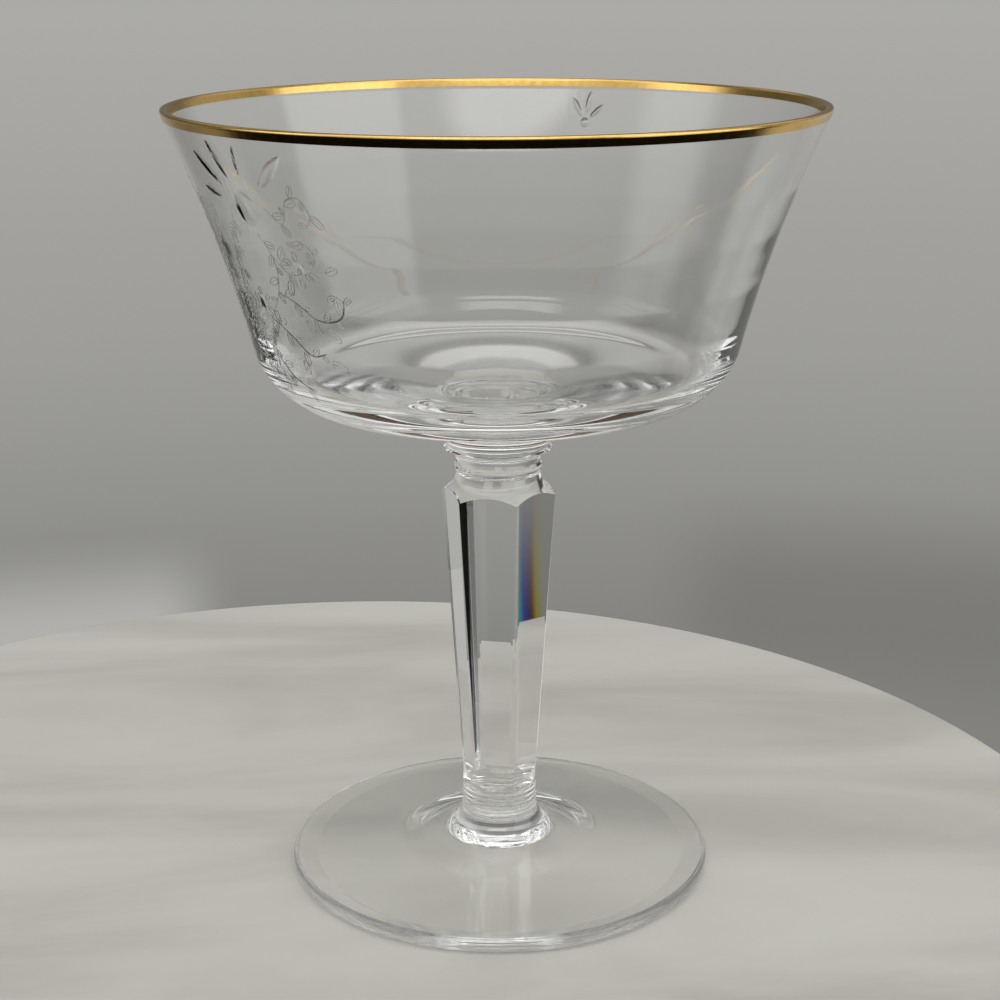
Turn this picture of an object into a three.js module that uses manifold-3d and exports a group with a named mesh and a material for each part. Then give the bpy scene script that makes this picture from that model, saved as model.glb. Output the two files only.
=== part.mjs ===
// Sherbet glass in clear crystal: a wide flared bowl with a gilded rim, a cut six-sided stem and a round foot.
// Millimetres, +Z up. The origin is the middle of the foot, on the surface that the glass stands on.
// The pieces are joined hot, so each one sits on a flat seat on top of the piece below it.

import * as THREE from "three";
import { mergeVertices } from "three/addons/utils/BufferGeometryUtils.js";
import Module from "manifold-3d";

// Foot: a shallow cone with a rounded edge, hollow below, resting on a flat ring
const footDiameter = 74;
const footEdgeHeight = 2.4;
const footEdgeRounding = 1.1;
const footRestWidth = 3.4;
const footTopRise = 3.6;

// Hollow under the foot: a slope from the resting ring up to a low dome in the middle
const hollowDepth = 1.9;
const domeDiameter = 35;
const domeSlopeWidth = 6.5;
const domeRise = 1.9;
const domeCrown = 0.2;
const domeRounding = 30;
const domeEdgeRounding = 14;

// Boss in the middle of the foot, flaring down into its top
const bossHeight = 5.6;
const bossFlareRounding = 5;
const bossDraft = 0.55;

// Beaded wafer that joins the foot to the stem, as wide as the boss below it and the collar above it
const collarDiameter = 12.9;
const footMereseHeight = 2.4;
const beadCount = 3;
const beadProud = 0.15;
const beadRounding = 0.8;

// Stem: a turned blank with a round collar, a cone, a hollow shoulder and a ringed neck
const collarHeight = 1.6;
const shoulderHeight = 53.6;
const shoulderRise = 2.1;
const shoulderRounding = 3;
const neckDiameter = 14.5;
const neckRootHeight = 1.7;
const neckRootFlare = 0.35;
const neckLength = 2.9;

// Fine rounded ring round the neck
const neckRingHeight = 1.4;
const neckRingProud = 0.25;
const neckRingSlope = 0.4;
const neckRingRounding = 0.4;
const neckRingLift = 0.55;

// Flats cut round the stem by a wheel, which leaves a round run-out above the collar
const flatCount = 6;
const flatsAcrossShoulder = 17.1;
const runOutDepth = 0.6;
const runOutHeight = 2.5;
const wheelRadius = 3;
const cornerAllowance = 0.1;
const cornerTurn = 18.2; // degrees that one corner is turned to the right of the front

// Flared wafer that joins the neck to the bowl
const bowlMereseHeight = 1.6;
const bowlMereseFlare = 1.95;
const bowlMereseLip = 0.15;
const bowlMereseRounding = 1.5;
const bowlMereseRoot = 0.65;
const bowlMereseRootFlare = 0.15;

// Bowl: a thin flared wall on a thick base that slopes up from a round pad
const bowlHeight = 57;
const rimDiameter = 107.7;
const lipWall = 1.2;
const lipRounding = 0.55;
const baseDiameter = 77;
const baseRise = 8.2;
const heelRounding = 13;
const wallHollow = 1.775;
const wallRounding = 220;
const padInset = 0.6;
const padHeight = 2.4;
const padRounding = 3;

// Inside of the bowl: a dished floor, and a wall of nearly even thickness
const floorLift = 1.9;
const floorInset = 1.9;
const floorDish = 3.9;
const floorRounding = 9;
const middleWall = 0.7;

// Gold fired on the lip, deeper outside than inside
const gildingDepthOutside = 1.5;
const gildingDepthInside = 1.25;
const gildingThickness = 0.12;

// Fineness of the turned shapes
const turnSegments = 48;
const arcStep = THREE.MathUtils.degToRad(24);

const wasm = await Module();
wasm.setup();

// Outlines and solids

// The points of an outline whose corners are [radius, height, rounding], with every rounded corner as an arc.
// An arc ends where a neighbouring side ends, or half way to a neighbour that is rounded too.
function roundedOutline(corners) {
  const places = corners.map(([radius, height]) => new THREE.Vector2(radius, height));
  const points = [];
  corners.forEach((corner, i) => {
    const rounding = corner[2] ?? 0;
    if (rounding === 0) {
      points.push(places[i]);
      return;
    }
    const sides = [i - 1, i + 1].map((j) => {
      const side = places[j].clone().sub(places[i]);
      const room = side.length() * (corners[j][2] ? 0.5 : 1);
      return { direction: side.normalize(), room };
    });
    const [before, after] = sides;
    const halfAngle = Math.acos(THREE.MathUtils.clamp(before.direction.dot(after.direction), -1, 1)) / 2;
    const reach = Math.min(rounding / Math.tan(halfAngle), before.room, after.room);
    const arcRadius = reach * Math.tan(halfAngle);
    const bisector = before.direction.clone().add(after.direction).normalize();
    const centre = places[i].clone().addScaledVector(bisector, arcRadius / Math.sin(halfAngle));
    const start = places[i].clone().addScaledVector(before.direction, reach).sub(centre);
    const turn = Math.PI - 2 * halfAngle;
    const sense = Math.sign(after.direction.cross(before.direction));
    const steps = Math.max(2, Math.ceil(turn / arcStep));
    for (let k = 0; k <= steps; k += 1) {
      const spoke = start.clone().rotateAround(new THREE.Vector2(), (sense * turn * k) / steps);
      points.push(spoke.add(centre));
    }
  });
  return points;
}

// An outline of radii and heights turned about the Z axis.
function turned(points) {
  return new THREE.LatheGeometry(points, turnSegments).rotateX(Math.PI / 2);
}

// A closed geometry as a solid that can be cut.
function solidOf(geometry) {
  const bare = geometry.clone();
  bare.deleteAttribute("normal");
  bare.deleteAttribute("uv");
  const merged = mergeVertices(bare, 1e-4);
  return new wasm.Manifold(
    new wasm.Mesh({
      numProp: 3,
      vertProperties: merged.getAttribute("position").array,
      triVerts: new Uint32Array(merged.index.array),
    }),
  );
}

// A solid back as a geometry.
function geometryOf(solid) {
  const { vertProperties, triVerts } = solid.getMesh();
  const geometry = new THREE.BufferGeometry();
  geometry.setAttribute("position", new THREE.BufferAttribute(vertProperties, 3));
  geometry.setIndex(new THREE.BufferAttribute(triVerts, 1));
  geometry.computeVertexNormals();
  return geometry;
}

// Materials

const crystal = new THREE.MeshStandardMaterial({ color: 0xe4e8e6, roughness: 0.03, metalness: 0 });
const gold = new THREE.MeshStandardMaterial({ color: 0xc7a04a, roughness: 0.22, metalness: 1 });

// Foot

const footHeight = footEdgeHeight + footTopRise + bossHeight;

function footGeometry() {
  const radius = footDiameter / 2;
  const restInnerRadius = radius - footEdgeRounding - footRestWidth;
  const domeRadius = domeDiameter / 2;
  const bossRadius = collarDiameter / 2;
  return turned(
    roundedOutline([
      [0, hollowDepth + domeRise + domeCrown],
      [domeRadius - domeSlopeWidth, hollowDepth + domeRise, domeRounding],
      [domeRadius, hollowDepth, domeEdgeRounding],
      [restInnerRadius, 0],
      [radius, 0, footEdgeRounding],
      [radius, footEdgeHeight, footEdgeRounding],
      [bossRadius + bossDraft, footEdgeHeight + footTopRise, bossFlareRounding],
      [bossRadius, footHeight],
      [0, footHeight],
    ]),
  );
}

// Wafer between the foot and the stem: a stack of fine beads

function footMereseGeometry() {
  const radius = collarDiameter / 2;
  const beadHeight = footMereseHeight / beadCount;
  const corners = [
    [0, 0],
    [radius, 0],
  ];
  for (let bead = 0; bead < beadCount; bead += 1) {
    corners.push([radius + beadProud, (bead + 0.5) * beadHeight, beadRounding]);
    corners.push([radius, (bead + 1) * beadHeight]);
  }
  corners.push([0, footMereseHeight]);
  return turned(roundedOutline(corners));
}

// Stem

const neckBottom = shoulderHeight + shoulderRise + neckRootHeight;
const stemHeight = neckBottom + neckLength;

function stemBlank() {
  const collarRadius = collarDiameter / 2;
  const neckRadius = neckDiameter / 2;
  const ringRadius = neckRadius + neckRingProud;
  const ringBottom = neckBottom + neckRingLift;
  const cornerRadius = flatsAcrossShoulder / 2 / Math.cos(Math.PI / flatCount);
  return turned(
    roundedOutline([
      [0, 0],
      [collarRadius, 0],
      [collarRadius, collarHeight],
      [cornerRadius + cornerAllowance, shoulderHeight],
      [neckRadius + neckRootFlare, shoulderHeight + shoulderRise, shoulderRounding],
      [neckRadius, neckBottom],
      [neckRadius, ringBottom],
      [ringRadius, ringBottom + neckRingSlope, neckRingRounding],
      [ringRadius, ringBottom + neckRingHeight - neckRingSlope, neckRingRounding],
      [neckRadius, ringBottom + neckRingHeight],
      [neckRadius, stemHeight],
      [0, stemHeight],
    ]),
  );
}

// The glass that one pass of the wheel takes away, on the side facing the given direction.
// Its inner side is the flat, and it ends below in the wheel's own curve.
function wheelCut(direction) {
  const flatLow = new THREE.Vector2(collarDiameter / 2 - runOutDepth, runOutHeight);
  const flatShoulder = new THREE.Vector2(flatsAcrossShoulder / 2, shoulderHeight);
  const slope = flatShoulder.clone().sub(flatLow);
  const taper = Math.atan2(slope.x, slope.y);
  const cutTop = stemHeight + wheelRadius;
  const flatTop = flatLow.clone().addScaledVector(slope, (cutTop - flatLow.y) / slope.y);
  const wheelCentre = new THREE.Vector2(Math.cos(taper), -Math.sin(taper))
    .multiplyScalar(wheelRadius)
    .add(flatLow);
  const outside = Math.max(wheelCentre.x, flatTop.x) + wheelRadius;
  const section = new THREE.Shape();
  section.moveTo(flatTop.x, flatTop.y);
  section.lineTo(flatLow.x, flatLow.y);
  section.absarc(wheelCentre.x, wheelCentre.y, wheelRadius, Math.PI - taper, 1.5 * Math.PI, false);
  section.lineTo(outside, wheelCentre.y - wheelRadius);
  section.lineTo(outside, cutTop);
  const width = 2 * flatsAcrossShoulder;
  const cut = new THREE.ExtrudeGeometry(section, { depth: width, bevelEnabled: false, curveSegments: 24 });
  cut.translate(0, 0, -width / 2).rotateX(Math.PI / 2).rotateZ(direction);
  return solidOf(cut);
}

function stemGeometry() {
  const front = -Math.PI / 2;
  const firstCorner = front + THREE.MathUtils.degToRad(cornerTurn);
  let stem = solidOf(stemBlank());
  for (let flat = 0; flat < flatCount; flat += 1) {
    stem = stem.subtract(wheelCut(firstCorner + ((flat + 0.5) * 2 * Math.PI) / flatCount));
  }
  return geometryOf(stem);
}

// Wafer between the neck and the bowl: it flares from the neck to a thin lip

const bowlMereseRadius = neckDiameter / 2 + bowlMereseFlare;

function bowlMereseGeometry() {
  const neckRadius = neckDiameter / 2;
  return turned(
    roundedOutline([
      [0, 0],
      [neckRadius, 0],
      [neckRadius + bowlMereseRootFlare, bowlMereseRoot, bowlMereseRounding],
      [bowlMereseRadius, bowlMereseHeight - bowlMereseLip],
      [bowlMereseRadius, bowlMereseHeight],
      [0, bowlMereseHeight],
    ]),
  );
}

// Bowl

// The wall inside and outside is straight at the lip, and has a point where the gilding ends.
function bowlOutline() {
  const rimRadius = rimDiameter / 2;
  const baseRadius = baseDiameter / 2;
  const padRadius = bowlMereseRadius - padInset;
  const baseTop = padHeight + baseRise;
  const wallMiddle = new THREE.Vector2((baseRadius + rimRadius) / 2 - wallHollow, (baseTop + bowlHeight) / 2);
  const outerRim = new THREE.Vector2(rimRadius, bowlHeight);
  const innerRim = new THREE.Vector2(rimRadius - lipWall, bowlHeight);
  const innerHeel = new THREE.Vector2(baseRadius - floorInset, baseTop + floorLift);
  const innerMiddle = new THREE.Vector2(wallMiddle.x - middleWall, wallMiddle.y);
  const gildedOutside = alongSide(outerRim, wallMiddle, gildingDepthOutside);
  const gildedInside = alongSide(innerRim, innerMiddle, gildingDepthInside);
  return roundedOutline([
    [0, 0],
    [padRadius, 0],
    [padRadius, padHeight, padRounding],
    [baseRadius, baseTop, heelRounding],
    [wallMiddle.x, wallMiddle.y, wallRounding],
    [gildedOutside.x, gildedOutside.y],
    [outerRim.x, outerRim.y, lipRounding],
    [innerRim.x, innerRim.y, lipRounding],
    [gildedInside.x, gildedInside.y],
    [innerMiddle.x, innerMiddle.y, wallRounding],
    [innerHeel.x, innerHeel.y, floorRounding],
    [0, innerHeel.y - floorDish],
  ]);
}

// The point of a side, below the rim, where the gilding ends.
function alongSide(rim, below, gildingDepth) {
  return rim.clone().lerp(below, gildingDepth / (rim.y - below.y));
}

// Gilding: a skin of even thickness over the points of the bowl's outline that lie on the lip

function gildingOutline() {
  const gildingEnd = bowlHeight - Math.max(gildingDepthOutside, gildingDepthInside) - gildingThickness / 2;
  const lip = bowlOutline().filter((point) => point.y > gildingEnd);
  const skin = lip.map((point, i) => {
    const along = lip[Math.min(i + 1, lip.length - 1)].clone().sub(lip[Math.max(i - 1, 0)]);
    const outward = new THREE.Vector2(along.y, -along.x).setLength(gildingThickness);
    return point.clone().add(outward);
  });
  return [...skin, ...lip.reverse(), skin[0]];
}

// Assembly: every piece stands on the top of the one below it

const sherbetGlass = new THREE.Group();

function stand(name, geometry, material, height) {
  const mesh = new THREE.Mesh(geometry, material);
  mesh.name = name;
  mesh.position.z = height;
  sherbetGlass.add(mesh);
}

const stemSeat = footHeight + footMereseHeight;
const bowlMereseSeat = stemSeat + stemHeight;
const bowlSeat = bowlMereseSeat + bowlMereseHeight;

stand("foot", footGeometry(), crystal, 0);
stand("foot_merese", footMereseGeometry(), crystal, footHeight);
stand("stem", stemGeometry(), crystal, stemSeat);
stand("bowl_merese", bowlMereseGeometry(), crystal, bowlMereseSeat);
stand("bowl", turned(bowlOutline()), crystal, bowlSeat);
stand("rim_gilding", turned(gildingOutline()), gold, bowlSeat);

export default sherbetGlass;
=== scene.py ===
"""A clear crystal sherbet glass with a gilded rim, standing on a pale slab in soft light."""

import math

import bmesh
import bpy
from mathutils import Matrix, Vector


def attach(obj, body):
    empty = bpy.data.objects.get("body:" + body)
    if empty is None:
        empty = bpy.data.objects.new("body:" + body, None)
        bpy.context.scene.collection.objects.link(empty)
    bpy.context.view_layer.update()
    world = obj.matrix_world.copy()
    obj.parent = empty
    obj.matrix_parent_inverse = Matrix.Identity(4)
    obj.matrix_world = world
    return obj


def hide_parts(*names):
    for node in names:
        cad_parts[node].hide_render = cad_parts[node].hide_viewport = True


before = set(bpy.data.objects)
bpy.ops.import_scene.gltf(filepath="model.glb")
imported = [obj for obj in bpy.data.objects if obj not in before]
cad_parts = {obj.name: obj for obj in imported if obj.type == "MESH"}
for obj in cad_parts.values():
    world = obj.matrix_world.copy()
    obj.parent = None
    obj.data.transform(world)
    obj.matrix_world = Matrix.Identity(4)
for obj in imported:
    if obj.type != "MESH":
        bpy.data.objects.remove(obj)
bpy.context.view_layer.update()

MM = 0.001
TURN_STEPS = 216
ARC_STEP = math.radians(3.5)
SMOOTH_ANGLE = math.radians(7)

# Heights of the pieces in millimetres, and the radii at which they are melted together
FOOT_HEIGHT = 11.6
FOOT_MERESE_HEIGHT = 2.4
STEM_HEIGHT = 60.3
BOWL_MERESE_HEIGHT = 1.6
BOWL_HEIGHT = 57
COLLAR_RADIUS = 6.45
NECK_RADIUS = 7.25
PAD_RADIUS = 8.6

# Levels of the seats above the table
FOOT_MERESE_SEAT = FOOT_HEIGHT
STEM_SEAT = FOOT_MERESE_SEAT + FOOT_MERESE_HEIGHT
BOWL_MERESE_SEAT = STEM_SEAT + STEM_HEIGHT
BOWL_SEAT = BOWL_MERESE_SEAT + BOWL_MERESE_HEIGHT

# The foot: its edge, and its outline as corners of half a section (radius, height above the seat, rounding)
FOOT_RADIUS = 37
FOOT_EDGE_HEIGHT = 2.4
FOOT_EDGE_ROUNDING = 1.1
FOOT_CORNERS = (
    (0, 4.0, 0),
    (11, 3.8, 30),
    (17.5, 1.9, 14),
    (32.5, 0, 0),
    (FOOT_RADIUS, 0, FOOT_EDGE_ROUNDING),
    (FOOT_RADIUS, FOOT_EDGE_HEIGHT, FOOT_EDGE_ROUNDING),
    (7.0, 6.0, 5),
    (COLLAR_RADIUS, FOOT_HEIGHT, 0),
    (0, FOOT_HEIGHT, 0),
)

# The rings of the beaded wafer
BEAD_COUNT = 3
BEAD_HEIGHT = FOOT_MERESE_HEIGHT / BEAD_COUNT
BEAD_PROUD = 0.15
BEAD_ROUNDING = 0.8

# The stem's blank: its shoulder is a hair wider than the corners between the flats
SHOULDER_LEVEL = 53.6
SHOULDER_RADIUS = 9.873
NECK_RING_RADIUS = 7.5
NECK_RING_ROUNDING = 0.4
STEM_CORNERS = (
    (0, 0, 0),
    (COLLAR_RADIUS, 0, 0),
    (COLLAR_RADIUS, 1.6, 0),
    (SHOULDER_RADIUS, SHOULDER_LEVEL, 0),
    (7.6, 55.7, 3),
    (NECK_RADIUS, 57.4, 0),
    (NECK_RADIUS, 57.95, 0),
    (NECK_RING_RADIUS, 58.35, NECK_RING_ROUNDING),
    (NECK_RING_RADIUS, 58.95, NECK_RING_ROUNDING),
    (NECK_RADIUS, 59.35, 0),
    (NECK_RADIUS, STEM_HEIGHT, 0),
    (0, STEM_HEIGHT, 0),
)

# The stem's six flats as (distance from the axis, height), and the curve in which the wheel leaves the glass
FLAT_COUNT = 6
FIRST_CORNER = math.radians(-71.8)
FLAT_LOW = (5.85, 2.5)
FLAT_SHOULDER = (8.55, SHOULDER_LEVEL)
CUT_TOP = 58
WHEEL_RADIUS = 3
RUN_OUT_TURN = math.radians(40)
RUN_OUT_LEVELS = 10

# The flared wafer
FLARE_RADIUS = 9.2
BOWL_MERESE_CORNERS = (
    (0, 0, 0),
    (NECK_RADIUS, 0, 0),
    (7.4, 0.65, 1.5),
    (FLARE_RADIUS, 1.45, 0),
    (FLARE_RADIUS, BOWL_MERESE_HEIGHT, 0),
    (PAD_RADIUS, BOWL_MERESE_HEIGHT, 0),
    (0, BOWL_MERESE_HEIGHT, 0),
)

# The bowl: its lip, and where the gilding ends on both sides as (radius, height)
LIP_OUTSIDE = 53.85
LIP_INSIDE = 52.65
LIP_ROUNDING = 0.55
GILDING_OUTSIDE = (53.239, 55.5)
GILDING_INSIDE = (52.168, 55.75)
BEND_LEVEL = 33.8
BEND_ROUNDING = 220
BOWL_CORNERS = (
    (0, 0, 0),
    (PAD_RADIUS, 0, 0),
    (PAD_RADIUS, 2.4, 3),
    (38.5, 10.6, 13),
    (44.4, BEND_LEVEL, BEND_ROUNDING),
    (*GILDING_OUTSIDE, 0),
    (LIP_OUTSIDE, BOWL_HEIGHT, LIP_ROUNDING),
    (LIP_INSIDE, BOWL_HEIGHT, LIP_ROUNDING),
    (*GILDING_INSIDE, 0),
    (43.7, BEND_LEVEL, BEND_ROUNDING),
    (36.6, 12.5, 9),
    (0, 8.6, 0),
)
WALL_LEVELS = [22 + 1.3 * i for i in range(26)]

# The skin of gold: how far it stands out, bites in and laps below the ends of the gilding
GILDING_PROUD = 0.1
GILDING_BITE = 0.02
GILDING_OUTER_LAP = 0.05
GILDING_INNER_LAP = 0.01
GILDING_INNER_ROUNDING = 0.5

# Engraved ornament: the middle of each spray as (degrees from the front, height above the bowl's seat)
SPRAY = (-49, 44.6)
SPRIG = (161, 49.2)

# Leaves cut by the wheel round the middle: (direction in degrees, start, end, half width)
SPRAY_LEAVES = (
    (36, 6.2, 14.8, 0.95),
    (76, 5.4, 10.0, 0.5),
    (114, 4.9, 11.0, 0.7),
    (143, 5.4, 13.2, 0.75),
    (168, 6.4, 11.6, 0.5),
)
SPRIG_LEAVES = (
    (58, 1.2, 5.2, 0.5),
    (97, 1.6, 5.6, 0.55),
    (136, 1.2, 4.6, 0.45),
)
LEAF_DEPTH = 0.2

# Round hollows polished by the wheel: (across, up, radius, depth)
SPRAY_HOLLOWS = ((0, 0, 2.7, 0.2), (7.4, -8.6, 1.1, 0.12), (-4.6, -15.2, 1.0, 0.1))
SPRIG_HOLLOWS = ((0, 0, 0.9, 0.2),)

# The wall is refined this far round each cut, with this many more rows
CUT_MARGIN = 1.3
CUT_ROWS = 9

# How near to the outer wall a face or a point has to lie to belong to it
FACE_NEARNESS = 0.1
POINT_NEARNESS = 0.03

# The etched line work of the spray: the ribs with the length of their barbs, and the leafy tendrils
FERNS = (
    (((-6.0, -2.5), (-9.5, -8.0), (-11.0, -15.0), (-10.0, -23.0), (-7.0, -29.0)), 1.9),
    (((-1.0, -17.0), (-5.0, -21.0), (-7.5, -27.0)), 1.4),
    (((-11.5, -1.0), (-16.0, -7.0), (-18.5, -15.0), (-18.0, -24.0)), 1.6),
)
TENDRILS = (
    ((0.6, -3.6), (2.4, -8.0), (0.8, -13.0), (-3.4, -18.0), (-5.0, -24.0), (-3.4, -30.0)),
    ((2.2, -7.0), (5.0, -9.4), (9.0, -9.0), (11.4, -6.4), (10.0, -4.2), (8.2, -5.2)),
    ((0.9, -12.8), (4.6, -14.2), (8.4, -16.4), (12.6, -15.8), (14.2, -13.0), (12.2, -11.8)),
    ((-3.0, -17.4), (0.8, -19.6), (4.6, -22.4), (8.0, -21.8)),
    ((-4.6, -24.0), (-1.0, -27.0), (3.4, -28.6)),
    ((4.4, 0.6), (7.0, -1.6), (8.4, -0.4), (9.6, 2.0), (12.4, 2.6), (13.4, 0.2), (12.0, -2.0)),
    ((-5.0, -1.0), (-7.0, -6.4), (-8.4, -12.0), (-8.0, -19.0), (-9.4, -26.0)),
    ((-12.0, 1.0), (-15.0, -5.0), (-15.6, -12.0), (-13.4, -19.0), (-13.0, -27.0)),
    ((-17.0, 3.0), (-21.0, -4.0), (-22.6, -12.0), (-21.0, -20.0), (-18.0, -28.0)),
    ((-24.0, 4.0), (-28.0, -4.0), (-29.0, -12.0), (-27.0, -20.0), (-23.0, -28.0)),
)

# Rings of petals: (across, up, distance from the middle, half length, count)
BLOSSOMS = ((7.4, -8.6, 2.1, 0.8, 6), (-4.6, -15.2, 1.9, 0.7, 6))

# Single leaflets: (across, up, lean in degrees, half length)
LEAFLETS = (
    (4.6, -6.4, 50, 1.3),
    (13.8, -8.2, 20, 1.2),
    (4.4, -11.8, 70, 1.3),
    (6.4, -17.6, -70, 1.2),
    (10.6, -18.6, -40, 1.4),
    (2.8, -24.6, -80, 1.2),
    (10.2, -23.6, -20, 1.5),
)

# Strokes of the line work: widths, spacing of their points, and heights over the wall
LINE_WIDTH = 0.3
BARB_WIDTH = 0.22
OVAL_WIDTH = 0.2
VEIN_WIDTH = 0.18
LINE_STEP = 0.4
BARB_STEP = 0.3
LINE_UNDERSIDE = 0.005
LINE_EDGE = 0.015
LINE_RELIEF = 0.04

# The slab: its disc, and the straight edges in front and at the left as (place, direction that they face)
SLAB_RADIUS = 141.3
SLAB_THICKNESS = 16
SLAB_ROUNDING = 3
SLAB_MIDDLE = (-30.8, -4.1)
SLAB_GAP = 0.03
SLAB_STEPS = 128
SLAB_SMOOTH_ANGLE = math.radians(20)
SLAB_EDGES = (((0, -62), (0, -1)), ((-88, -62), (-0.9707, -0.2403)))

# The camera: its place in metres, its angles in degrees, and its lens in millimetres
CAMERA_PLACE = (0, -0.31534, 0.15987)
CAMERA_AIM = -0.054
CAMERA_PITCH = 16.56
CAMERA_ROLL = -0.24
CAMERA_LENS = 69.18
CAMERA_SENSOR = 36


def outline(corners):
    """A wire outline in the XZ plane, with every rounded corner as an arc."""
    bm = bmesh.new()
    places = [Vector((radius * MM, 0, height * MM)) for radius, height, _ in corners]
    verts = [bm.verts.new(place) for place in places]
    for lower, upper in zip(verts, verts[1:]):
        bm.edges.new((lower, upper))
    for i, (_, _, rounding) in enumerate(corners):
        if not rounding:
            continue
        sides = [places[j] - places[i] for j in (i - 1, i + 1)]
        room = [side.length * (0.499 if corners[j][2] else 0.999) for side, j in zip(sides, (i - 1, i + 1))]
        between = sides[0].angle(sides[1])
        reach = min(rounding * MM / math.tan(between / 2), *room)
        bmesh.ops.bevel(
            bm,
            geom=[verts[i]],
            offset=reach,
            offset_type="OFFSET",
            affect="VERTICES",
            segments=max(3, math.ceil((math.pi - between) / ARC_STEP)),
            profile=0.5,
            material=-1,
        )
    return bm


def turn(bm, start=0.0, steps=TURN_STEPS):
    """Turns a wire outline into a solid round the Z axis, from the given direction."""
    bmesh.ops.rotate(bm, verts=bm.verts[:], cent=(0, 0, 0), matrix=Matrix.Rotation(start, 3, "Z"))
    bmesh.ops.spin(
        bm,
        geom=bm.verts[:] + bm.edges[:],
        cent=(0, 0, 0),
        axis=(0, 0, 1),
        angle=2 * math.pi,
        steps=steps,
        use_merge=True,
        use_duplicate=False,
    )
    bmesh.ops.remove_doubles(bm, verts=bm.verts[:], dist=1e-7)
    bmesh.ops.recalc_face_normals(bm, faces=bm.faces[:])


def lengthen(bm, levels):
    """Adds a ring of edges at each level, so that long faces bend and shade evenly."""
    for level in levels:
        bmesh.ops.bisect_plane(
            bm,
            geom=bm.verts[:] + bm.edges[:] + bm.faces[:],
            dist=1e-7,
            plane_co=(0, 0, level * MM),
            plane_no=(0, 0, 1),
        )


def mark_joints(bm, *joints):
    """The faces that are melted into the next piece get the second finish."""
    for height, radius in joints:
        for face in bm.faces:
            middle = face.calc_center_median()
            flat = abs(face.normal.z) > 0.999 and abs(middle.z - height * MM) < 2e-6
            if flat and math.hypot(middle.x, middle.y) < radius * MM:
                face.material_index = 1


def piece(bm, name, seat, node, finishes):
    """Stands a finished mesh on its seat and lets it take the place of its CAD node, if it has one."""
    bmesh.ops.translate(bm, verts=bm.verts[:], vec=(0, 0, seat * MM))
    mesh = bpy.data.meshes.new(name)
    bm.to_mesh(mesh)
    bm.free()
    mesh.shade_smooth()
    mesh.set_sharp_from_angle(angle=SMOOTH_ANGLE)
    for finish in finishes:
        mesh.materials.append(finish)
    made = bpy.data.objects.new(name, mesh)
    bpy.context.scene.collection.objects.link(made)
    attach(made, "root")
    if node:
        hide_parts(node)
    return made


def new_finish(name):
    """An empty node material and its output."""
    finish = bpy.data.materials.new(name)
    finish.use_nodes = True
    finish.node_tree.nodes.clear()
    out = finish.node_tree.nodes.new("ShaderNodeOutputMaterial")
    return finish, finish.node_tree, out


def noise_field(tree, scale, detail, roughness):
    """Cloudy variation in the piece's own coordinates."""
    place = tree.nodes.new("ShaderNodeTexCoord")
    field = tree.nodes.new("ShaderNodeTexNoise")
    field.inputs["Scale"].default_value = scale
    field.inputs["Detail"].default_value = detail
    field.inputs["Roughness"].default_value = roughness
    tree.links.new(place.outputs["Object"], field.inputs["Vector"])
    return field


def colour_steps(tree, source, stops):
    """A colour ramp over a value, from (position, colour) stops."""
    ramp = tree.nodes.new("ShaderNodeValToRGB")
    marks = ramp.color_ramp.elements
    while len(marks) < len(stops):
        marks.new(0.5)
    for mark, (position, colour) in zip(marks, stops):
        mark.position = position
        mark.color = (*colour, 1)
    tree.links.new(source, ramp.inputs["Fac"])
    return ramp


def crystal_finish():
    """Clear polished crystal: a trace of grey in the melt."""
    finish, tree, out = new_finish("clear_crystal")
    glass = tree.nodes.new("ShaderNodeBsdfPrincipled")
    glass.inputs["Roughness"].default_value = 0.0
    glass.inputs["IOR"].default_value = 1.53
    glass.inputs["Transmission Weight"].default_value = 1.0
    melt = noise_field(tree, 60, 3, 0.5)
    tint = colour_steps(tree, melt.outputs["Fac"], ((0.3, (0.975, 0.98, 0.975)), (0.7, (0.995, 0.995, 0.99))))
    tree.links.new(tint.outputs["Color"], glass.inputs["Base Color"])
    tree.links.new(glass.outputs["BSDF"], out.inputs["Surface"])
    return finish


def frosted_finish():
    """Glass roughened by the acid, a little uneven."""
    finish, tree, out = new_finish("etched_crystal")
    glass = tree.nodes.new("ShaderNodeBsdfPrincipled")
    glass.inputs["Roughness"].default_value = 0.25
    glass.inputs["IOR"].default_value = 1.53
    glass.inputs["Transmission Weight"].default_value = 1.0
    bite = noise_field(tree, 2500, 3, 0.6)
    tint = colour_steps(tree, bite.outputs["Fac"], ((0.3, (0.8, 0.8, 0.79)), (0.7, (0.95, 0.95, 0.94))))
    tree.links.new(tint.outputs["Color"], glass.inputs["Base Color"])
    tree.links.new(glass.outputs["BSDF"], out.inputs["Surface"])
    return finish


def joint_finish():
    """Where two pieces are melted together there is no surface to see."""
    finish, tree, out = new_finish("melted_joint")
    clear = tree.nodes.new("ShaderNodeBsdfTransparent")
    tree.links.new(clear.outputs["BSDF"], out.inputs["Surface"])
    return finish


def gold_finish():
    """Burnished fired gold, a little uneven where the brush laid it on."""
    finish, tree, out = new_finish("burnished_gold")
    gold = tree.nodes.new("ShaderNodeBsdfPrincipled")
    gold.inputs["Metallic"].default_value = 1.0
    brush = noise_field(tree, 900, 4, 0.55)
    tone = colour_steps(tree, brush.outputs["Fac"], ((0.3, (0.78, 0.49, 0.13)), (0.7, (0.86, 0.58, 0.2))))
    worn = tree.nodes.new("ShaderNodeMapRange")
    worn.inputs["To Min"].default_value = 0.12
    worn.inputs["To Max"].default_value = 0.24
    tree.links.new(brush.outputs["Fac"], worn.inputs["Value"])
    tree.links.new(tone.outputs["Color"], gold.inputs["Base Color"])
    tree.links.new(worn.outputs["Result"], gold.inputs["Roughness"])
    tree.links.new(gold.outputs["BSDF"], out.inputs["Surface"])
    return finish


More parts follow.
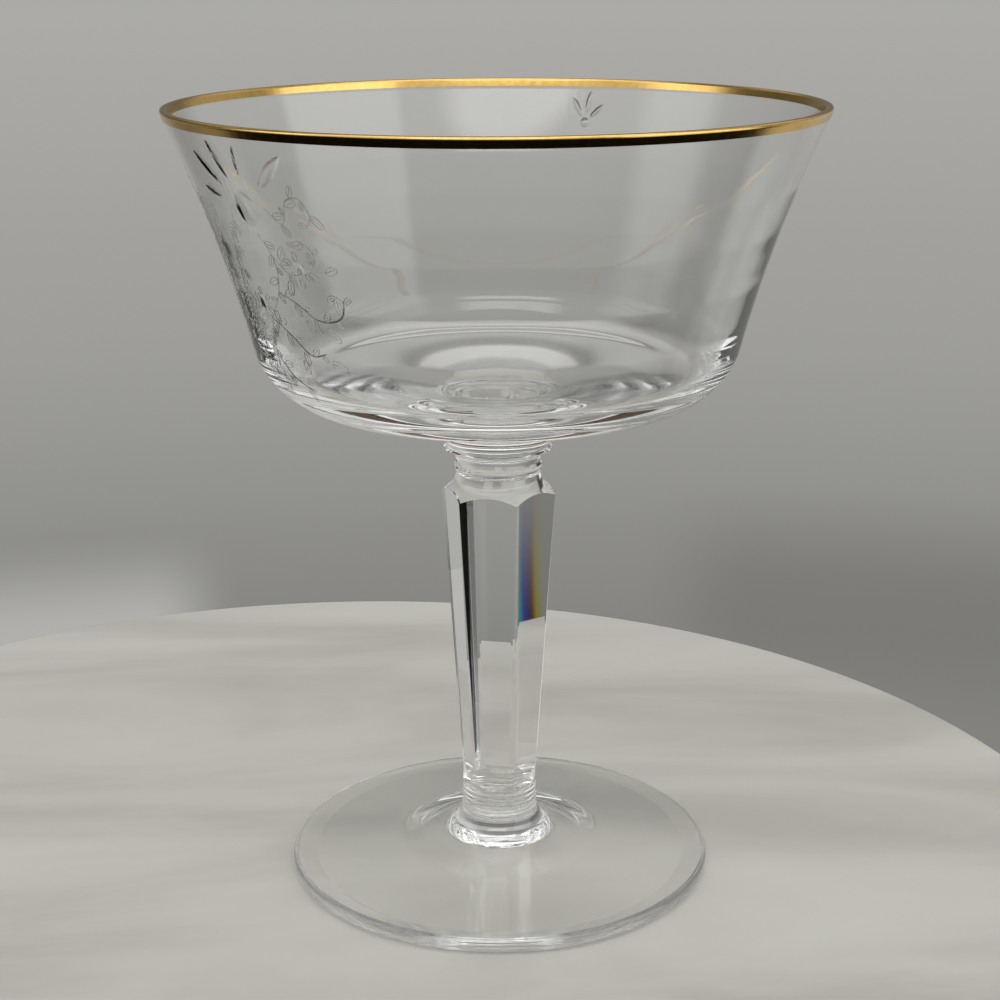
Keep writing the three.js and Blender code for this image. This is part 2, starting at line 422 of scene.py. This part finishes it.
crystal = crystal_finish()
frosted = frosted_finish()
melted = joint_finish()
gilt = gold_finish()


def foot():
    """The round foot, hollow below, with the boss that carries the stem."""
    bm = outline(FOOT_CORNERS)
    turn(bm)
    mark_joints(bm, (FOOT_HEIGHT, COLLAR_RADIUS))
    return piece(bm, "crystal_foot", 0, "foot", (crystal, melted))


def foot_merese():
    """The wafer between foot and stem: a row of rounded rings."""
    corners = [(0, 0, 0), (COLLAR_RADIUS, 0, 0)]
    for k in range(BEAD_COUNT):
        corners.append((COLLAR_RADIUS + BEAD_PROUD, (k + 0.5) * BEAD_HEIGHT, BEAD_ROUNDING))
        corners.append((COLLAR_RADIUS, (k + 1) * BEAD_HEIGHT, 0))
    bm = outline([*corners, (0, FOOT_MERESE_HEIGHT, 0)])
    turn(bm)
    mark_joints(bm, (0, COLLAR_RADIUS), (FOOT_MERESE_HEIGHT, COLLAR_RADIUS))
    return piece(bm, "beaded_wafer", FOOT_MERESE_SEAT, "foot_merese", (crystal, melted))


def run_out():
    """The section of one wheel cut as (distance from the axis, height), from the top down."""
    taper = math.atan2(FLAT_SHOULDER[0] - FLAT_LOW[0], FLAT_SHOULDER[1] - FLAT_LOW[1])
    centre = (
        FLAT_LOW[0] + WHEEL_RADIUS * math.cos(taper),
        FLAT_LOW[1] - WHEEL_RADIUS * math.sin(taper),
    )
    first = math.pi - taper
    last = math.pi + RUN_OUT_TURN
    section = [(FLAT_LOW[0] + (CUT_TOP - FLAT_LOW[1]) * math.tan(taper), CUT_TOP)]
    for i in range(RUN_OUT_LEVELS + 1):
        angle = first + (last - first) * i / RUN_OUT_LEVELS
        across = WHEEL_RADIUS * math.cos(angle)
        up = WHEEL_RADIUS * math.sin(angle)
        section.append((centre[0] + across, centre[1] + up))
    return section


def cut_depth(section, height):
    """How far from the axis the cut lies at a height, or None below it."""
    for (upper_r, upper_z), (lower_r, lower_z) in zip(section, section[1:]):
        if lower_z - 1e-6 <= height <= upper_z + 1e-6:
            return lower_r + (upper_r - lower_r) * (height - lower_z) / (upper_z - lower_z)
    return None


def cut_flats(bm):
    """Grinds the six flats: each slice of the cut is scored on the blank, then worn down to its plane."""
    section = run_out()
    lengthen(bm, [height for _, height in section[1:]])
    directions = [FIRST_CORNER + (k + 0.5) * 2 * math.pi / FLAT_COUNT for k in range(FLAT_COUNT)]
    for direction in directions:
        out = Vector((math.cos(direction), math.sin(direction), 0))
        for (upper_r, upper_z), (lower_r, lower_z) in zip(section, section[1:]):
            lean = Vector((0, 0, -(upper_r - lower_r) / (upper_z - lower_z)))
            sliced = [
                face
                for face in bm.faces
                if face.calc_center_median().dot(out) > 0
                and lower_z * MM - 1e-7 < face.calc_center_median().z < upper_z * MM + 1e-7
            ]
            edges = {edge for face in sliced for edge in face.edges}
            verts = {vert for face in sliced for vert in face.verts}
            bmesh.ops.bisect_plane(
                bm,
                geom=sliced + list(edges) + list(verts),
                dist=1e-7,
                plane_co=out * lower_r * MM + Vector((0, 0, lower_z * MM)),
                plane_no=(out + lean).normalized(),
            )
    for vert in bm.verts:
        depth = cut_depth(section, vert.co.z / MM)
        if depth is None:
            continue
        reach = max(vert.co.x * math.cos(d) + vert.co.y * math.sin(d) for d in directions)
        if reach > depth * MM:
            vert.co.x *= depth * MM / reach
            vert.co.y *= depth * MM / reach


def stem():
    """The turned blank of the stem with its six flats cut."""
    bm = outline(STEM_CORNERS)
    turn(bm, FIRST_CORNER)
    cut_flats(bm)
    bmesh.ops.remove_doubles(bm, verts=bm.verts[:], dist=2e-6)
    bmesh.ops.recalc_face_normals(bm, faces=bm.faces[:])
    mark_joints(bm, (0, COLLAR_RADIUS), (STEM_HEIGHT, NECK_RADIUS))
    return piece(bm, "cut_stem", STEM_SEAT, "stem", (crystal, melted))


def bowl_merese():
    """The flared wafer between stem and bowl."""
    bm = outline(BOWL_MERESE_CORNERS)
    turn(bm)
    mark_joints(bm, (0, NECK_RADIUS), (BOWL_MERESE_HEIGHT, PAD_RADIUS))
    return piece(bm, "flared_wafer", BOWL_MERESE_SEAT, "bowl_merese", (crystal, melted))


def outer_wall():
    """The bowl's outer wall as (height, radius) points, from the base up."""
    bm = outline(((*BOWL_CORNERS[2][:2], 0), *BOWL_CORNERS[3:6]))
    points = sorted((vert.co.z / MM, vert.co.x / MM) for vert in bm.verts)
    bm.free()
    return points


WALL = outer_wall()


def wall_at(height):
    """The outer wall's radius at a height, and how much it grows with the height."""
    for (low, narrow), (high, wide) in zip(WALL, WALL[1:]):
        flare = (wide - narrow) / (high - low)
        if height <= high:
            break
    return narrow + flare * (height - low), flare


def outward(turned, flare):
    """The direction that the outer wall faces."""
    return Vector((math.sin(turned), -math.cos(turned), -flare)).normalized()


def spread_out(co, spray):
    """Where a place on the wall lies on the flat drawing: across to the right and up, in millimetres."""
    turned = math.atan2(co.x, -co.y) - math.radians(spray[0])
    turned = (turned + math.pi) % (2 * math.pi) - math.pi
    return turned * math.hypot(co.x, co.y) / MM, co.z / MM - spray[1]


def laid_on(across, up, lift, spray):
    """The place on the bowl's outer wall of a point of the flat drawing."""
    height = spray[1] + up
    radius, flare = wall_at(height)
    turned = math.radians(spray[0]) + across / radius
    place = Vector((radius * math.sin(turned), -radius * math.cos(turned), height))
    return (place + outward(turned, flare) * lift) * MM


def leaf_depth(across, up, leaf):
    """How deep the wheel goes at a point of the drawing, for one leaf."""
    direction, start, end, half_width = leaf
    lean = math.radians(direction)
    along = across * math.cos(lean) + up * math.sin(lean)
    aside = up * math.cos(lean) - across * math.sin(lean)
    share = (along - start) / (end - start)
    if not 0 < share < 1:
        return 0
    width = half_width * (4 * share * (1 - share)) ** 0.7
    return max(0, LEAF_DEPTH * (width / half_width) * (1 - (aside / width) ** 2))


def hollow_depth(across, up, hollow):
    """How deep one round hollow is at a point of the drawing."""
    distance = math.hypot(across - hollow[0], up - hollow[1])
    return max(0, hollow[3] * (1 - (distance / hollow[2]) ** 2))


def cut_ornament(bm, spray, leaves, hollows):
    """Refines the wall where the ornament is cut, and sinks the leaves and hollows into it."""

    def depth_at(co, spare=0):
        across, up = spread_out(co, spray)
        wide = [(d, s - spare, e + spare, w + spare) for d, s, e, w in leaves]
        round_ones = [(x, y, r + spare, d) for x, y, r, d in hollows]
        cuts = [leaf_depth(across, up, leaf) for leaf in wide]
        cuts += [hollow_depth(across, up, hollow) for hollow in round_ones]
        return max(cuts)

    near = []
    for face in bm.faces:
        middle = face.calc_center_median()
        radius, _ = wall_at(middle.z / MM)
        on_wall = math.hypot(middle.x, middle.y) / MM > radius - FACE_NEARNESS
        if on_wall and depth_at(middle, CUT_MARGIN) > 0:
            near.append(face)
    edges = list({edge for face in near for edge in face.edges})
    bmesh.ops.subdivide_edges(bm, edges=edges, cuts=CUT_ROWS, use_grid_fill=True)
    for vert in bm.verts:
        radius, flare = wall_at(vert.co.z / MM)
        if abs(math.hypot(vert.co.x, vert.co.y) / MM - radius) > POINT_NEARNESS:
            continue
        depth = depth_at(vert.co)
        if depth:
            vert.co -= outward(math.atan2(vert.co.x, -vert.co.y), flare) * depth * MM


def bowl():
    """The flared bowl with its thick base, and the ornament cut into its wall."""
    bm = outline(BOWL_CORNERS)
    turn(bm)
    lengthen(bm, WALL_LEVELS)
    cut_ornament(bm, SPRAY, SPRAY_LEAVES, SPRAY_HOLLOWS)
    cut_ornament(bm, SPRIG, SPRIG_LEAVES, SPRIG_HOLLOWS)
    mark_joints(bm, (0, PAD_RADIUS))
    return piece(bm, "crystal_bowl", BOWL_SEAT, "bowl", (crystal, melted))


def flowing(points, spacing=LINE_STEP):
    """An even run of points along a smooth line through the given ones."""
    points = [Vector(point) for point in points]
    ends = [2 * points[0] - points[1], *points, 2 * points[-1] - points[-2]]
    run = []
    for before, first, second, after in zip(ends, ends[1:], ends[2:], ends[3:]):
        steps = max(1, round((second - first).length / spacing))
        for i in range(steps):
            t = i / steps
            run.append(
                (
                    2 * first
                    + (second - before) * t
                    + (2 * before - 5 * first + 4 * second - after) * t**2
                    + (3 * first - before - 3 * second + after) * t**3
                )
                / 2
            )
    return [*run, points[-1]]


def stroke(bm, run, width=LINE_WIDTH):
    """Lays a ridged strip along a run of points of the flat drawing, thin at both ends."""
    steps = len(run) - 1
    strip = bmesh.ops.create_grid(bm, x_segments=steps, y_segments=2, size=0.5)["verts"]
    for vert in strip:
        i = round((vert.co.x + 0.5) * steps)
        side = vert.co.y
        ahead = (run[min(i + 1, steps)] - run[max(i - 1, 0)]).normalized()
        across = Vector((-ahead.y, ahead.x))
        pressed = 0.35 + 0.65 * math.sin(math.pi * (i + 0.5) / (steps + 1)) ** 0.5
        place = run[i] + across * side * width * pressed
        vert.co = (place.x, place.y, (1 - 2 * abs(side)) * pressed)


def oval(middle, lean, half_length, half_width):
    """A closed run of points round an oval."""
    turned = Matrix.Rotation(math.radians(lean), 2)
    steps = max(12, round(half_length * 14))
    run = []
    for i in range(steps + 1):
        angle = 2 * math.pi * i / steps
        run.append(middle + turned @ Vector((half_length * math.cos(angle), half_width * math.sin(angle))))
    return run


def leaflet(bm, middle, lean, half_length):
    """An oval leaf with its vein."""
    stroke(bm, oval(middle, lean, half_length, half_length * 0.5), OVAL_WIDTH)
    vein = Matrix.Rotation(math.radians(lean), 2) @ Vector((half_length * 0.8, 0))
    stroke(bm, flowing((middle - vein, middle + vein)), VEIN_WIDTH)


def fern(bm, rib, barb):
    """A rib with curved barbs on both sides."""
    run = flowing(rib)
    stroke(bm, run)
    for i in range(2, len(run) - 1, 2):
        ahead = (run[i + 1] - run[i - 1]).normalized()
        for side in (-1, 1):
            out = Vector((-ahead.y, ahead.x)) * side
            reach = barb * (0.75 + 0.25 * math.sin(2.3 * i))
            tip = run[i] + (out * 0.8 + ahead * 0.6) * reach
            bend = run[i] + (out * 0.5 + ahead * 0.2) * reach
            stroke(bm, flowing((run[i], bend, tip), BARB_STEP), BARB_WIDTH)


def leafy_tendril(bm, tendril):
    """A tendril with leaflets to its left and right in turn."""
    run = flowing(tendril)
    stroke(bm, run)
    for k, i in enumerate(range(4, len(run) - 1, 5)):
        ahead = (run[i + 1] - run[i - 1]).normalized()
        out = Vector((-ahead.y, ahead.x)) * (-1) ** k
        size = 0.95 + 0.3 * math.sin(1.7 * i)
        grown = out * 0.75 + ahead * 0.65
        leaflet(bm, run[i] + grown * (size + 0.2), math.degrees(math.atan2(grown.y, grown.x)), size)


def blossom(bm, middle, distance, half_length, count):
    """A ring of oval petals."""
    for k in range(count):
        lean = 360 * (k + 0.5) / count
        away = Vector((math.cos(math.radians(lean)), math.sin(math.radians(lean)))) * distance
        stroke(bm, oval(middle + away, lean, half_length, half_length * 0.55), OVAL_WIDTH)


def etched_spray():
    """The fine line work of the spray: thin frosted ridges on the outer wall."""
    bm = bmesh.new()
    for rib, barb in FERNS:
        fern(bm, rib, barb)
    for tendril in TENDRILS:
        leafy_tendril(bm, tendril)
    for across, up, distance, half_length, count in BLOSSOMS:
        blossom(bm, Vector((across, up)), distance, half_length, count)
    for across, up, lean, half_length in LEAFLETS:
        leaflet(bm, Vector((across, up)), lean, half_length)
    flat = bm.verts[:]
    raised = bmesh.ops.extrude_face_region(bm, geom=bm.faces[:], use_keep_orig=True)["geom"]
    for vert in flat:
        vert.co = laid_on(vert.co.x, vert.co.y, LINE_UNDERSIDE, SPRAY)
    for vert in raised:
        if isinstance(vert, bmesh.types.BMVert):
            vert.co = laid_on(vert.co.x, vert.co.y, LINE_EDGE + LINE_RELIEF * vert.co.z, SPRAY)
    bmesh.ops.recalc_face_normals(bm, faces=bm.faces[:])
    return piece(bm, "etched_spray", BOWL_SEAT, None, (frosted,))


def rim_gilding():
    """A skin of gold folded over the lip, a little proud of the glass and a little bitten into it."""
    outside, outside_end = GILDING_OUTSIDE
    inside, inside_end = GILDING_INSIDE
    start = (outside - GILDING_BITE, outside_end - GILDING_INNER_LAP, 0)
    corners = (
        start,
        (outside + GILDING_PROUD, outside_end - GILDING_OUTER_LAP, 0),
        (LIP_OUTSIDE + GILDING_PROUD, BOWL_HEIGHT + GILDING_PROUD, LIP_ROUNDING),
        (LIP_INSIDE - GILDING_PROUD, BOWL_HEIGHT + GILDING_PROUD, LIP_ROUNDING),
        (inside - GILDING_PROUD, inside_end - GILDING_OUTER_LAP, 0),
        (inside + GILDING_BITE, inside_end - GILDING_INNER_LAP, 0),
        (LIP_INSIDE + GILDING_BITE, BOWL_HEIGHT - GILDING_BITE, GILDING_INNER_ROUNDING),
        (LIP_OUTSIDE - GILDING_BITE, BOWL_HEIGHT - GILDING_BITE, GILDING_INNER_ROUNDING),
        start,
    )
    bm = outline(corners)
    turn(bm)
    return piece(bm, "gilded_rim", BOWL_SEAT, "rim_gilding", (gilt,))


foot()
foot_merese()
stem()
bowl_merese()
bowl()
etched_spray()
rim_gilding()


def slab_finish():
    """Pale honed stone with faint cloudy veins."""
    finish, tree, out = new_finish("pale_slab")
    stone = tree.nodes.new("ShaderNodeBsdfPrincipled")
    stone.inputs["Roughness"].default_value = 0.42
    stone.inputs["Specular IOR Level"].default_value = 0.35
    place = tree.nodes.new("ShaderNodeTexCoord")
    along = tree.nodes.new("ShaderNodeMapping")
    along.inputs["Rotation"].default_value = (0, 0, math.radians(-24))
    along.inputs["Scale"].default_value = (7, 26, 7)
    clouds = tree.nodes.new("ShaderNodeTexNoise")
    clouds.inputs["Scale"].default_value = 1.0
    clouds.inputs["Detail"].default_value = 5
    clouds.inputs["Roughness"].default_value = 0.55
    clouds.inputs["Distortion"].default_value = 0.6
    tree.links.new(place.outputs["Object"], along.inputs["Vector"])
    tree.links.new(along.outputs["Vector"], clouds.inputs["Vector"])
    tone = colour_steps(
        tree,
        clouds.outputs["Fac"],
        ((0.36, (0.45, 0.435, 0.405)), (0.52, (0.54, 0.525, 0.49)), (0.7, (0.585, 0.575, 0.535))),
    )
    tree.links.new(tone.outputs["Color"], stone.inputs["Base Color"])
    tree.links.new(stone.outputs["BSDF"], out.inputs["Surface"])
    return finish


def slab():
    """The slab that the glass stands on: a disc with straight edges in front and at the left."""
    corners = (
        (0, 0, 0),
        (SLAB_RADIUS, 0, SLAB_ROUNDING),
        (SLAB_RADIUS, -SLAB_THICKNESS, SLAB_ROUNDING),
        (0, -SLAB_THICKNESS, 0),
    )
    bm = outline(corners)
    turn(bm, steps=SLAB_STEPS)
    bmesh.ops.translate(bm, verts=bm.verts[:], vec=Vector((*SLAB_MIDDLE, -SLAB_GAP)) * MM)
    for place, facing in SLAB_EDGES:
        bmesh.ops.bisect_plane(
            bm,
            geom=bm.verts[:] + bm.edges[:] + bm.faces[:],
            dist=1e-7,
            plane_co=Vector((*place, 0)) * MM,
            plane_no=(*facing, 0),
            clear_outer=True,
        )
        bmesh.ops.holes_fill(bm, edges=[edge for edge in bm.edges if edge.is_boundary])
    mesh = bpy.data.meshes.new("slab")
    bm.to_mesh(mesh)
    bm.free()
    mesh.shade_smooth()
    mesh.set_sharp_from_angle(angle=SLAB_SMOOTH_ANGLE)
    mesh.materials.append(slab_finish())
    made = bpy.data.objects.new("slab", mesh)
    bpy.context.scene.collection.objects.link(made)


slab()


def grey(tone):
    """An even grey."""
    return (tone, tone, tone)


def studio():
    """Soft room light: grey behind the glass, a pale ceiling, two windows, and a darker room in front."""
    world = bpy.data.worlds.new("studio")
    bpy.context.scene.world = world
    world.use_nodes = True
    tree = world.node_tree
    tree.nodes.clear()
    out = tree.nodes.new("ShaderNodeOutputWorld")
    sky = tree.nodes.new("ShaderNodeBackground")
    place = tree.nodes.new("ShaderNodeTexCoord")
    split = tree.nodes.new("ShaderNodeSeparateXYZ")
    tree.links.new(place.outputs["Generated"], split.inputs["Vector"])
    x, y, z = (split.outputs[axis] for axis in "XYZ")

    def calc(operation, *inputs):
        """One step of arithmetic on sockets and numbers."""
        node = tree.nodes.new("ShaderNodeMath")
        node.operation = operation
        for socket, value in zip(node.inputs, inputs):
            if isinstance(value, (int, float)):
                socket.default_value = value
            else:
                tree.links.new(value, socket)
        return node.outputs[0]

    def fade(value, low, high):
        """Rises smoothly from nothing at the first limit to one at the second."""
        node = tree.nodes.new("ShaderNodeMapRange")
        node.interpolation_type = "SMOOTHSTEP"
        node.inputs["From Min"].default_value = low
        node.inputs["From Max"].default_value = high
        tree.links.new(value, node.inputs["Value"])
        return node.outputs["Result"]

    def mix(kind, share, first, second):
        """Two colours mixed in the given way."""
        node = tree.nodes.new("ShaderNodeMix")
        node.data_type = "RGBA"
        node.blend_type = kind
        tree.links.new(share, node.inputs["Factor"])
        for socket, value in ((node.inputs[6], first), (node.inputs[7], second)):
            if isinstance(value, tuple):
                socket.default_value = (*value, 1)
            else:
                tree.links.new(value, socket)
        return node.outputs[2]

    def within(value, low, high, soft):
        """One between two angles in degrees, fading to nothing outside them."""
        rising = fade(value, math.radians(low - soft), math.radians(low))
        falling = fade(value, math.radians(high + soft), math.radians(high))
        return calc("MULTIPLY", rising, falling)

    def patch(sides, lifts, soft):
        """One inside a patch of the surroundings, given by its angles to the side and up."""
        return calc("MULTIPLY", within(azimuth, *sides, soft), within(rise, *lifts, soft))

    azimuth = calc("ARCTAN2", x, calc("MULTIPLY", y, -1))
    aside = calc("ABSOLUTE", azimuth)
    rise = calc("ARCSINE", z)
    height = calc("MULTIPLY_ADD", z, 0.5, 0.5)

    # Some of the surroundings show only in the glass and the gold, and some only beside them
    seen_direct = tree.nodes.new("ShaderNodeLightPath").outputs["Is Camera Ray"]
    in_glass = calc("SUBTRACT", 1, seen_direct)

    # Behind the glass: the tones of the backdrop from low to high
    behind = colour_steps(
        tree,
        height,
        (
            (0.2, (0.4, 0.39, 0.37)),
            (0.307, (0.37, 0.365, 0.345)),
            (0.326, (0.235, 0.232, 0.22)),
            (0.347, (0.262, 0.259, 0.246)),
            (0.362, (0.29, 0.287, 0.272)),
            (0.396, (0.34, 0.336, 0.318)),
            (0.4235, (0.36, 0.355, 0.336)),
            (0.4825, (0.415, 0.41, 0.392)),
            (0.52, (0.16, 0.158, 0.152)),
            (0.68, (0.16, 0.158, 0.152)),
            (0.72, (0.42, 0.415, 0.4)),
            (0.8, (0.42, 0.42, 0.41)),
            (0.83, (0.2, 0.2, 0.195)),
            (0.9, (0.2, 0.2, 0.195)),
            (0.935, (1.5, 1.5, 1.48)),
        ),
    )
    back = behind.outputs["Color"]
    pale_right = calc("MULTIPLY", patch((118, 140), (-30, 60), 20), 0.35)
    back = mix("MIX", pale_right, back, (0.85, 0.85, 0.83))
    dark_left = calc("MULTIPLY", patch((-140, -100), (-60, 60), 20), 0.35)
    back = mix("MIX", dark_left, back, grey(0.02))
    low_left = calc("MULTIPLY", patch((-169, -150), (-28, -20), 3), 0.9)
    back = mix("MIX", low_left, back, (0.46, 0.455, 0.435))
    low_right = calc("MULTIPLY", patch((150, 172), (-26, -19.5), 4), seen_direct)
    back = mix("MIX", calc("MULTIPLY", low_right, 0.8), back, (0.19, 0.187, 0.178))

    # Low behind the slab: the pale and dark edges of the table, which the thick base of the bowl shows
    table = colour_steps(
        tree,
        height,
        (
            (0.224, (0.4, 0.395, 0.375)),
            (0.2336, (0.43, 0.425, 0.405)),
            (0.2375, (0.67, 0.66, 0.64)),
            (0.2505, (0.67, 0.66, 0.64)),
            (0.2545, (0.27, 0.266, 0.253)),
            (0.26, (0.28, 0.276, 0.263)),
            (0.267, (0.46, 0.455, 0.435)),
            (0.29, (0.54, 0.53, 0.51)),
            (0.318, (0.45, 0.44, 0.42)),
            (0.3455, (0.36, 0.355, 0.336)),
        ),
    )
    near = calc("MULTIPLY", fade(aside, math.radians(176), math.radians(177.5)), fade(height, 0.342, 0.336))
    back = mix("MIX", calc("MULTIPLY", near, in_glass), back, table.outputs["Color"])

    # In front: a dim room under a pale ceiling, darkest where the stem and the gold show it
    front = colour_steps(
        tree,
        height,
        (
            (0.15, grey(0.004)),
            (0.23, grey(0.02)),
            (0.3, grey(0.05)),
            (0.5, grey(0.05)),
            (0.54, grey(0.14)),
            (0.6, (0.38, 0.38, 0.375)),
            (0.75, (0.7, 0.7, 0.69)),
            (0.9, (1.1, 1.1, 1.08)),
            (1.0, (1.3, 1.3, 1.28)),
        ),
    )
    dark = calc("MULTIPLY", patch((-58, -22), (-12, 2), 3), in_glass)
    ahead = mix("MIX", dark, front.outputs["Color"], grey(0.0005))
    room = mix("MIX", fade(aside, math.radians(76), math.radians(110)), ahead, back)
    low = calc("MULTIPLY", patch((-106, 106), (-90, -15), 8), in_glass)
    room = mix("MIX", low, room, grey(0.004))

    # A fine dark edge with coloured sides at the left behind, which the cut stem shows as a small rainbow
    across = calc("ADD", calc("MULTIPLY_ADD", rise, 0.42, math.radians(143.66)), azimuth)
    edge = tree.nodes.new("ShaderNodeCombineColor")
    for channel, (middle, half_width, soft) in zip(
        ("Red", "Green", "Blue"), ((0.25, 0.2, 0.25), (0.08, 0.12, 0.2), (-0.12, 0.12, 0.2))
    ):
        shade = within(across, middle - half_width, middle + half_width, soft)
        tree.links.new(calc("MULTIPLY_ADD", shade, -0.85, 1), edge.inputs[channel])
    stronger = calc("MULTIPLY", fade(rise, math.radians(-11), math.radians(-17)), in_glass)
    fringe = calc("MULTIPLY", within(rise, -16.2, -11, 1), stronger)
    room = mix("MULTIPLY", fringe, room, edge.outputs["Color"])

    # Two windows, and a pale strip high in front that shows under the far rim
    strip = calc("MULTIPLY", within(azimuth, -28, 12, 18), within(rise, 40, 47, 1.4))
    room = mix("ADD", strip, room, (3.2, 3.2, 3.12))
    room = mix("ADD", patch((46, 92), (-10, 42), 6), room, (0.9, 0.9, 0.92))
    room = mix("ADD", patch((-91, -73), (14, 40), 14), room, grey(0.8))
    tree.links.new(room, sky.inputs["Color"])
    tree.links.new(sky.outputs["Background"], out.inputs["Surface"])


studio()


def camera():
    """At the front, a little above the rim, looking down at the glass."""
    data = bpy.data.cameras.new("camera")
    data.lens = CAMERA_LENS
    data.sensor_width = CAMERA_SENSOR
    data.clip_start = 0.01
    made = bpy.data.objects.new("camera", data)
    bpy.context.scene.collection.objects.link(made)
    aim = Matrix.Rotation(math.radians(CAMERA_AIM), 4, "Z")
    tilt = Matrix.Rotation(math.radians(90 - CAMERA_PITCH), 4, "X")
    roll = Matrix.Rotation(math.radians(CAMERA_ROLL), 4, "Z")
    made.matrix_world = Matrix.Translation(CAMERA_PLACE) @ aim @ tilt @ roll
    bpy.context.scene.camera = made


camera()

bpy.context.scene.view_settings.view_transform = "Standard"
bpy.context.scene.cycles.blur_glossy = 0
bpy.context.scene.cycles.max_bounces = 32
bpy.context.scene.cycles.transmission_bounces = 32
bpy.context.scene.cycles.glossy_bounces = 24
bpy.context.scene.cycles.transparent_max_bounces = 32
